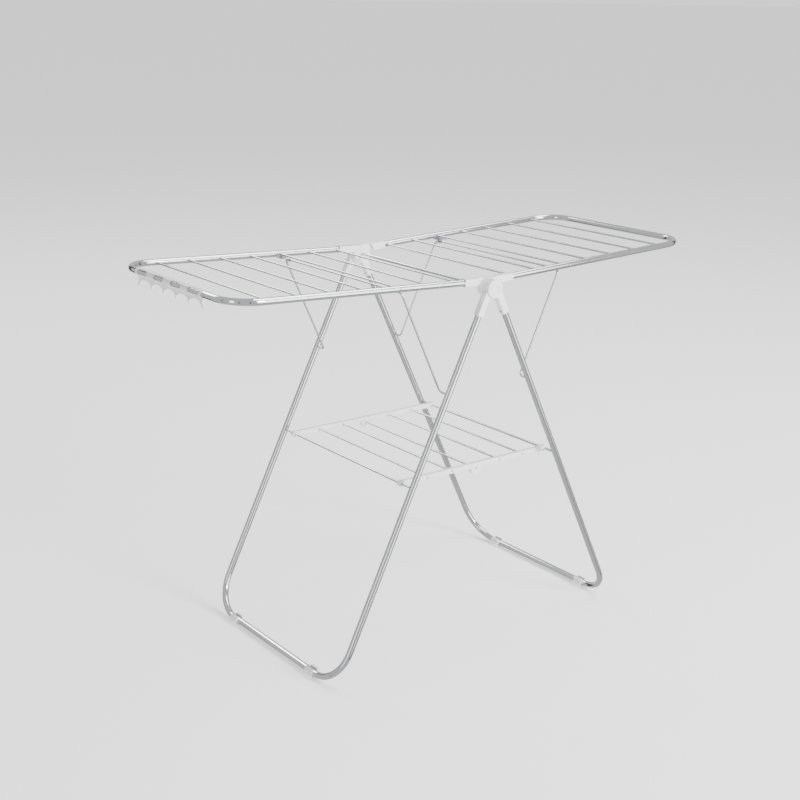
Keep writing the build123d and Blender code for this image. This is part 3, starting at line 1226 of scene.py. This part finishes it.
@dataclass(frozen=True)
class Hub:
    """Axle through both hubs, with its two caps.

    Attributes:
        finishes: The shared materials.
        cap: The round cap on each end.
    """

    finishes: Finishes
    cap: HubCap = HubCap()

    def build(self) -> None:
        """Build and dress the caps, and dress the axle."""
        dress_node("hub_axle", self.finishes.wire)
        for side in Side:
            self.cap.build(side, "left_frame", self.finishes.moulding)


# ---- wings ---------------------------------------------------------------------------------


@dataclass(frozen=True)
class StrutHook:
    """Pressed steel hook under a wing tube, open towards the wing's tip.

    Attributes:
        wall: Thickness of the sheet.
        play: Room round the crossbar of the strut.
        catch_reach: Hub axle to the crossbar, along the wing.
        drop: Crossbar below the wing tube axes.
        wire: Radius of the crossbar.
        rivet_reach: Hub axle to the rivet.
        tab_width: Width of the riveted tab.
        inner: The catch spans from here.
        outer: To here.
        tube_face: Inner face of the wing tube.
        lip: Length of the floor of the hook.
        tab_top: Top of the tab, above the tube axes.
        edge_round: How far its edges are rounded.
        tab_round: Radius of the corners of its tab.
    """

    wall: float = 2 * MM
    play: float = 0.5 * MM
    catch_reach: float = 246 * MM
    drop: float = 11 * MM
    wire: float = 2.5 * MM
    rivet_reach: float = 264 * MM
    tab_width: float = 8 * MM
    inner: float = 220 * MM
    outer: float = 228 * MM
    tube_face: float = 249.2 * MM
    lip: float = 6 * MM
    tab_top: float = 3.2 * MM
    edge_round: float = 0.35 * MM
    tab_round: float = 1.2 * MM

    def build(self) -> bpy.types.Object:
        """Model one hook, in the wing's own directions.

        Returns:
            The hook.
        """
        ceiling = -self.drop + self.wire + self.play
        ground = -self.drop - self.wire - self.play
        back = self.catch_reach - self.wire - self.play
        front = self.rivet_reach + self.tab_width / 2
        length = front - back + self.wall
        roof = block(
            (length, self.tube_face - self.inner, self.wall),
            (
                back - self.wall + length / 2,
                (self.tube_face + self.inner) / 2,
                ceiling + self.wall / 2,
            ),
        )
        tab_height = self.tab_top - ceiling
        tab = block(
            (self.tab_width, self.wall, tab_height),
            (front - self.tab_width / 2, self.tube_face - self.wall / 2, ceiling + tab_height / 2),
        )
        round_long_edges(tab, 1, self.tab_round, 4)
        catch_middle = (self.inner + self.outer) / 2
        back_height = ceiling - ground + 2 * self.wall
        back_wall = block(
            (self.wall, self.outer - self.inner, back_height),
            (back - self.wall / 2, catch_middle, ground - self.wall + back_height / 2),
        )
        lip = block(
            (self.lip, self.outer - self.inner, self.wall),
            (back - self.wall + self.lip / 2, catch_middle, ground - self.wall / 2),
        )
        for other in (tab, back_wall, lip):
            combine(roof, other, Cut.JOIN)
        soften(roof, self.edge_round)
        return roof


@dataclass(frozen=True)
class HookRivet:
    """Rivet with a domed head on each end.

    Attributes:
        reach: Hub axle to the rivet, along the wing.
        inner_face: Where the inner head sits.
        outer_face: Where the outer head sits.
        shank: Radius of the shank.
        head: Radius of a head.
        height: Height of a head.
        edge_round: How far its edges are rounded.
    """

    reach: float = 264 * MM
    inner_face: float = 247.2 * MM
    outer_face: float = 265.2 * MM
    shank: float = 1.6 * MM
    head: float = 3.2 * MM
    height: float = 1.2 * MM
    edge_round: float = 0.1 * MM

    def build(self) -> bpy.types.Object:
        """Model one rivet, in the wing's own directions.

        Returns:
            The rivet.
        """
        inner_dome = arc((self.inner_face, 0), (self.height, self.head), 180, 90, DOME_STEPS)
        outer_dome = arc((self.outer_face, 0), (self.height, self.head), 90, 0, DOME_STEPS)
        profile = inner_dome + [(self.inner_face, self.shank), (self.outer_face, self.shank)]
        profile += outer_dome
        dimple = 0.35 * MM
        profile[-1] = (self.outer_face + self.height - dimple, 0)
        rivet = turning(profile, (self.reach, 0, 0), "Y", SMALL_SIDES)
        soften(rivet, self.edge_round, 2)
        return rivet


@dataclass(frozen=True)
class Wing:
    """One drying wing: bent tube, seven rails, two sockets, hooks, rivets and screws.

    Attributes:
        hand: Half of the airer.
        finishes: The shared materials.
        rails: Number of drying rails.
        socket: Its hub sockets.
        screw: The screws of the sockets.
        hook: The hooks that sit on the strut.
        rivet: The rivets of the hooks.
    """

    hand: Hand
    finishes: Finishes
    rails: int = 7
    socket: LapSocket = LapSocket(257.2 * MM, 23.5 * MM, 38 * MM, 40 * MM)
    screw: SocketScrew = SocketScrew()
    hook: StrutHook = StrutHook()
    rivet: HookRivet = HookRivet()

    def build(self) -> None:
        """Build and dress every piece of the wing, and its strut."""
        word = self.hand.word
        body = f"{word}_wing"
        axes = wing_axes(self.hand)
        dress_node(f"{word}_wing_tube", self.finishes.tube)
        dress_node(f"{word}_strut", self.finishes.wire)
        for number in range(1, self.rails + 1):
            dress_node(f"{word}_wing_rail_{number}", self.finishes.wire)
        for side in Side:
            node = f"{word}_wing_socket_{side.word}"
            socket = self.socket.build(axes, side, LAPS[self.hand], node + "_moulding")
            dress_piece(socket, self.finishes.moulding, body, node)
        node = f"{word}_wing_socket_screws"
        screws = self.screw.pair(self.socket.half_width, axes, node + "_pair")
        dress_piece(screws, self.finishes.fastener, body, node)
        node = f"{word}_strut_hooks"
        hooks = self.pair(self.hook.build(), axes, node + "_pressing")
        dress_piece(hooks, self.finishes.hook, body, node)
        node = f"{word}_hook_rivets"
        rivets = self.pair(self.rivet.build(), axes, node + "_pair")
        dress_piece(rivets, self.finishes.fastener, body, node)

    def pair(self, piece: bpy.types.Object, axes: Axes, name: str) -> bpy.types.Object:
        """Join a piece and its mirror image on the other side, in their place.

        Args:
            piece: The piece, in the wing's own directions.
            axes: The wing's own directions.
            name: Name for the two together.

        Returns:
            The object.
        """
        whole = gather([piece, copy_of(piece, name, (1, -1, 1))], name)
        settle(whole, name, axes)
        return whole


# ---- shelf ---------------------------------------------------------------------------------


@dataclass(frozen=True)
class ShelfBar:
    """Plastic side bar of one shelf half, with an end boss and half of the middle hinge.

    Attributes:
        half_span: Middle hinge to the pivot in a leg.
        thickness: Thickness of the bar.
        height: Height of the bar.
        corner: Rounding of its long edges.
        boss: Radius of the end boss.
        disc: Radius of the hinge disc.
        relief: How far from the hinge the bar is half as thick.
        lap_gap: Side play between the two discs.
        pad: Radius of the shallow seat round each rail end.
        pad_depth: Depth of that seat.
        edge_round: How far its edges are rounded.
    """

    half_span: float = 228.3 * MM
    thickness: float = 12 * MM
    height: float = 13 * MM
    corner: float = 2 * MM
    boss: float = 8 * MM
    disc: float = 15 * MM
    relief: float = 15.7 * MM
    lap_gap: float = 0.4 * MM
    pad: float = 4 * MM
    pad_depth: float = 0.4 * MM
    edge_round: float = 0.5 * MM

    def build(self, hand: Hand, side: Side) -> bpy.types.Object:
        """Model one bar in its place.

        Args:
            hand: Half of the airer.
            side: Near or far bar.

        Returns:
            The bar.
        """
        node = f"{hand.word}_shelf_bar_{side.word}"
        pivot = middle(f"{hand.word}_shelf_pivot_rod")
        hinge = middle("shelf_hinge_rod")
        place = middle(node)
        lap = LAPS[hand]
        half_thickness = (self.thickness - self.lap_gap) / 2
        disc_y = place.y + side.value * lap.value * (self.lap_gap + half_thickness) / 2
        relief_y = place.y + side.value * lap.value * (self.lap_gap - self.thickness) / 2
        piece = block(
            (self.half_span, self.thickness, self.height),
            (HUB.x + hand.value * self.half_span / 2, place.y, pivot.z),
        )
        round_long_edges(piece, 0, self.corner)
        combine(
            piece,
            bar(self.relief, self.thickness, (HUB.x, relief_y, hinge.z), "Y", ROUND_SIDES),
            Cut.REMOVE,
        )
        combine(
            piece,
            bar(self.disc, half_thickness, (HUB.x, disc_y, hinge.z), "Y", ROUND_SIDES),
            Cut.JOIN,
        )
        combine(piece, bar(self.boss, self.thickness, (pivot.x, place.y, pivot.z), "Y"), Cut.JOIN)
        outer_y = place.y + side.value * self.thickness / 2
        for number in (1, 2):
            rail = middle(f"{hand.word}_shelf_rail_{number}")
            seat = bar(self.pad, 2 * self.pad_depth, (rail.x, outer_y, rail.z), "Y", SMALL_SIDES)
            combine(piece, seat, Cut.REMOVE)
        soften(piece, self.edge_round)
        piece.name = node + "_moulding"
        piece.data.name = piece.name
        return piece


@dataclass(frozen=True)
class Shelf:
    """Folding lower shelf: four side bars, four rails, two pivot rods and the hinge rod.

    Attributes:
        finishes: The shared materials.
        bar: The side bars.
    """

    finishes: Finishes
    bar: ShelfBar = ShelfBar()

    def build(self) -> None:
        """Build and dress both halves."""
        dress_node("shelf_hinge_rod", self.finishes.wire)
        for hand in Hand:
            word = hand.word
            dress_node(f"{word}_shelf_pivot_rod", self.finishes.wire)
            for number in (1, 2):
                dress_node(f"{word}_shelf_rail_{number}", self.finishes.wire)
            for side in Side:
                piece = self.bar.build(hand, side)
                node = f"{word}_shelf_bar_{side.word}"
                dress_piece(piece, self.finishes.moulding, f"{word}_shelf", node)


# ---- sock hanger ---------------------------------------------------------------------------


@dataclass(frozen=True)
class SockHanger:
    """Windowed sleeve on the end tube, with a web of arches and prongs for socks.

    Attributes:
        finishes: The shared materials.
        length: Length of the sleeve.
        radius: Its outer radius.
        bore: Its inner radius.
        windows: Number of windows.
        window_length: Length of a window.
        window_height: Height of a window.
        window_pitch: Distance between windows.
        window_turn: How far the windows look upwards, in degrees.
        bays: Number of arches.
        bay_pitch: Distance between prongs.
        bay_drop: Top of each arch below the tube axis.
        bay_rise: Height of the arch itself.
        web: Thickness of the web and prongs.
        shoulder: Where the slanted ends of the web turn into the end prongs.
        prong_width: Width of a prong.
        prong_reach: Prong tips below the tube axis.
        splay: How far the two end prongs lean outwards.
        edge_round: How far its edges are rounded.
        blunt: How far the corners of a prong's tip are cut back.
        tuck: How far the top of the web tucks inside the sleeve.
        lip: Width of the bevel at the ends of the sleeve.
        arch_steps: Flats along one arch of the web.
        end_steps: Flats round one end of a window.
    """

    finishes: Finishes
    length: float = 304.5 * MM
    radius: float = 9.8 * MM
    bore: float = 8.6 * MM
    windows: int = 4
    window_length: float = 48 * MM
    window_height: float = 11.8 * MM
    window_pitch: float = 79.5 * MM
    window_turn: float = 20.0
    bays: int = 5
    bay_pitch: float = 58 * MM
    bay_drop: float = 15.5 * MM
    bay_rise: float = 13 * MM
    web: float = 4 * MM
    shoulder: float = 15 * MM
    prong_width: float = 5.5 * MM
    prong_reach: float = 31 * MM
    splay: float = 4 * MM
    edge_round: float = 0.45 * MM
    blunt: float = 1.2 * MM
    tuck: float = 2 * MM
    lip: float = 0.7 * MM
    arch_steps: int = 24
    end_steps: int = 16

    def web_outline(self) -> list[tuple[float, float]]:
        """Outline of the web, as (across, up) from the middle of the sleeve.

        Returns:
            The corners, in order.
        """
        half = self.bays * self.bay_pitch / 2
        half_prong = self.prong_width / 2
        bay_half = self.bay_pitch / 2 - half_prong
        springing = -self.bay_drop - self.bay_rise
        blunt = self.blunt
        tip = -self.prong_reach
        end_prong = [
            (-self.length / 2 + self.tuck, -self.radius + self.tuck),
            (-half - half_prong, -self.shoulder),
            (-half - half_prong - self.splay, tip + blunt),
            (-half - half_prong - self.splay + blunt, tip),
            (-half + half_prong - self.splay - blunt, tip),
            (-half + half_prong - self.splay, tip + blunt),
        ]
        corners = list(end_prong)
        for number in range(self.bays):
            centre = -half + (number + 0.5) * self.bay_pitch
            if number > 0:
                left = centre - bay_half
                corners += [(left - blunt, tip), (left, tip + blunt)]
            corners += arc((centre, springing), (bay_half, self.bay_rise), 180, 0, self.arch_steps)
            if number < self.bays - 1:
                right = centre + bay_half
                corners += [(right, tip + blunt), (right + blunt, tip)]
        corners += [(-across, up) for across, up in reversed(end_prong)]
        return corners

    def build(self) -> None:
        """Build and dress the hanger."""
        place = joint_place("sock_hanger_swing")
        low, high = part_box("sock_hanger")
        centre = (place.x, (low.y + high.y) / 2, place.z)
        half = self.length / 2
        lip = self.lip
        profile = [(-half, self.bore), (-half, self.radius - lip), (-half + lip, self.radius)]
        profile += [(half - lip, self.radius), (half, self.radius - lip), (half, self.bore)]
        profile.append(profile[0])
        sleeve = turning(profile, centre, "Y", ROUND_SIDES)
        outline = [
            (centre[0] - self.web / 2, centre[1] + across, centre[2] + up)
            for across, up in self.web_outline()
        ]
        web = plate(outline, (self.web, 0, 0))
        combine(sleeve, web, Cut.JOIN)
        combine(sleeve, bar(self.bore, 3 * half, centre, "Y", ROUND_SIDES), Cut.REMOVE)
        end_radius = self.window_height / 2
        flank = self.window_length / 2 - end_radius
        turn = math.radians(self.window_turn)
        facing = Vector((-math.cos(turn), 0, math.sin(turn)))
        upwards = Vector((math.sin(turn), 0, math.cos(turn)))
        ends = arc((flank, 0), (end_radius, end_radius), -90, 90, self.end_steps)
        ends += arc((-flank, 0), (end_radius, end_radius), 90, 270, self.end_steps)
        for number in range(self.windows):
            offset = (number - (self.windows - 1) / 2) * self.window_pitch
            start = Vector(centre) + Vector((0, offset, 0))
            rim = [tuple(start + Vector((0, across, 0)) + upwards * up) for across, up in ends]
            window = plate(rim, tuple(facing * 2 * self.radius))
            combine(sleeve, window, Cut.REMOVE)
        soften(sleeve, self.edge_round)
        sleeve.name = "sock_hanger_moulding"
        sleeve.data.name = sleeve.name
        dress_piece(sleeve, self.finishes.hanger, "sock_hanger", "sock_hanger")


# ---- studio --------------------------------------------------------------------------------


@dataclass(frozen=True)
class Camera:
    """Camera at the viewing angle of the picture.

    Attributes:
        place: Where it stands, in metres.
        azimuth: Turn about Z, in degrees.
        elevation: Height above the horizon, in degrees.
        roll: Turn about its own axis, in degrees.
        lens: Focal length for a 36 mm sensor, in millimetres.
        shift: Framing shift, in sensor widths.
    """

    place: Place = (-2.0800, -2.6471, 1.5729)
    azimuth: float = -37.66
    elevation: float = 13.16
    roll: float = 0.86
    lens: float = 61.43
    shift: tuple[float, float] = (-0.00945, -0.10515)

    def build(self) -> None:
        """Add the camera and make it the scene's own."""
        data = bpy.data.cameras.new("camera")
        data.lens = self.lens
        data.sensor_width = 36.0
        data.shift_x, data.shift_y = self.shift
        data.clip_end = 1000.0
        eye = bpy.data.objects.new("camera", data)
        bpy.context.scene.collection.objects.link(eye)
        turn, lift, roll = (
            math.radians(angle) for angle in (self.azimuth, self.elevation, self.roll)
        )
        back = Vector(
            (math.sin(turn) * math.cos(lift), -math.cos(turn) * math.cos(lift), math.sin(lift))
        )
        right = Vector((math.cos(turn), math.sin(turn), 0))
        up = back.cross(right)
        right, up = (
            right * math.cos(roll) + up * math.sin(roll),
            up * math.cos(roll) - right * math.sin(roll),
        )
        rows = [list(row) for row in zip(right, up, back)]
        eye.matrix_world = Matrix.Translation(self.place) @ Matrix(rows).to_4x4()
        bpy.context.scene.camera = eye


@dataclass(frozen=True)
class SoftLight:
    """Large soft lamp aimed at a point.

    Attributes:
        name: Name of the lamp.
        place: Where it hangs.
        aim: What it points at.
        size: Edge lengths of its panel.
        power: Its power, in watts.
    """

    name: str
    place: Place
    aim: Place
    size: tuple[float, float]
    power: float

    def build(self) -> None:
        """Add the lamp."""
        data = bpy.data.lights.new(self.name, "AREA")
        data.shape = "RECTANGLE"
        data.size, data.size_y = self.size
        data.energy = self.power
        lamp = bpy.data.objects.new(self.name, data)
        bpy.context.scene.collection.objects.link(lamp)
        lamp.location = self.place
        towards = Vector(self.aim) - Vector(self.place)
        lamp.rotation_euler = towards.to_track_quat("-Z", "Y").to_euler()


@dataclass(frozen=True)
class StreakCard:
    """Upright card round the set, which only polished metal reflects, as a streak.

    Attributes:
        name: Name of the card.
        azimuth: Where it stands, in degrees about Z from +X.
        width: Its width.
        tone: Its colour, the same for red, green and blue.
        glow: Strength of its own light, where it is a bright card.
        height: Its height.
        middle: Height of its middle above the floor.
        distance: How far from the middle of the set it stands.
    """

    name: str
    azimuth: float
    width: float
    tone: float = 0.08
    glow: float = 0.0
    height: float = 7.0
    middle: float = -0.2
    distance: float = 4.6

    def build(self) -> None:
        """Add the card, unseen by the camera and by soft light."""
        turn = math.radians(self.azimuth)
        let_go()
        bpy.ops.mesh.primitive_plane_add(size=1, location=(0, 0, 0))
        card = bpy.context.object
        card.name = self.name
        card.scale = (self.width, self.height, 1)
        card.rotation_euler = (QUARTER_TURN, 0, turn + QUARTER_TURN)
        card.location = (
            self.distance * math.cos(turn),
            self.distance * math.sin(turn),
            self.middle,
        )
        tone = (self.tone, self.tone, self.tone, 1)
        card.data.materials.append(MattCard(self.name, tone, self.glow).material())
        card.visible_camera = False
        card.visible_diffuse = False
        card.visible_transmission = False
        card.visible_shadow = False


@dataclass(frozen=True)
class Studio:
    """Plain pale floor under plain soft light, and the camera.

    Attributes:
        finishes: The shared materials.
        floor_size: Edge of the floor.
        sky: Colour of the light all round.
        sky_strength: Strength of that light.
        mirrored_strength: Strength with which polished metal reflects it.
        horizon_strength: Strength with which it shows above the end of the floor.
        lights: The soft lamps.
        cards: The dark cards.
        camera: The camera.
    """

    finishes: Finishes
    floor_size: float = 800.0
    sky: Tone = (1.0, 1.0, 1.0, 1)
    sky_strength: float = 0.5
    mirrored_strength: float = 0.8
    horizon_strength: float = 1.25
    lights: tuple[SoftLight, ...] = (
        SoftLight("overhead", (2.4, -0.8, 6.0), (0, 0, 0.5), (4.2, 3.0), 300.0),
        SoftLight("key", (1.6, -5.4, 2.8), (0, 0, 0.6), (1.8, 2.4), 600.0),
        SoftLight("back", (-0.6, 5.2, 4.6), (0, 0, 0.6), (3.0, 1.2), 120.0),
    )
    cards: tuple[StreakCard, ...] = (
        StreakCard("streak_behind", 106.0, 1.9),
        StreakCard("streak_left", 172.0, 0.3),
        StreakCard("streak_front_left", 219.0, 0.22),
        StreakCard("streak_front", 249.0, 0.26),
        StreakCard("streak_beside", 1.0, 1.3),
        StreakCard("streak_low", 300.0, 6.0, height=0.9, middle=-3.0),
        StreakCard("bright_front", 292.0, 4.4, 1.0, 3.2, 5.4, 1.2, 5.6),
        StreakCard("bright_left", 200.0, 1.2, 1.0, 2.2, 5.4, 1.2, 5.6),
    )
    camera: Camera = Camera()

    def build(self) -> None:
        """Add the floor, the lights, the cards and the camera."""
        let_go()
        bpy.ops.mesh.primitive_plane_add(size=self.floor_size, location=(0, 0, 0))
        ground = bpy.context.object
        ground.name = "floor"
        ground.data.materials.append(self.finishes.floor)
        ground.visible_glossy = False
        world = bpy.data.worlds.new("studio")
        world.use_nodes = True
        light = world.node_tree.nodes["Background"]
        light.inputs["Color"].default_value = self.sky
        path = world.node_tree.nodes.new("ShaderNodeLightPath")
        share = world.node_tree.nodes.new("ShaderNodeMapRange")
        share.inputs["To Min"].default_value = self.sky_strength
        share.inputs["To Max"].default_value = self.mirrored_strength
        world.node_tree.links.new(path.outputs["Is Glossy Ray"], share.inputs["Value"])
        seen = world.node_tree.nodes.new("ShaderNodeMapRange")
        seen.inputs["To Max"].default_value = self.horizon_strength
        world.node_tree.links.new(path.outputs["Is Camera Ray"], seen.inputs["Value"])
        world.node_tree.links.new(share.outputs["Result"], seen.inputs["To Min"])
        world.node_tree.links.new(seen.outputs["Result"], light.inputs["Strength"])
        bpy.context.scene.world = world
        for lamp in self.lights:
            lamp.build()
        for card in self.cards:
            card.build()
        self.camera.build()


def main() -> None:
    """Build the airer piece by piece, then the studio."""
    logging.basicConfig(level=logging.INFO, format="%(name)s: %(message)s")
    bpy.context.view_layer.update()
    let_go()
    finishes = Finishes.make()
    parts = [LegFrame(hand, finishes) for hand in Hand]
    parts += [Wing(hand, finishes) for hand in Hand]
    parts += [Hub(finishes), Shelf(finishes), SockHanger(finishes), Studio(finishes)]
    for part in parts:
        part.build()
        LOG.info("finished %s", type(part).__name__)


if __name__ == "__main__":
    main()
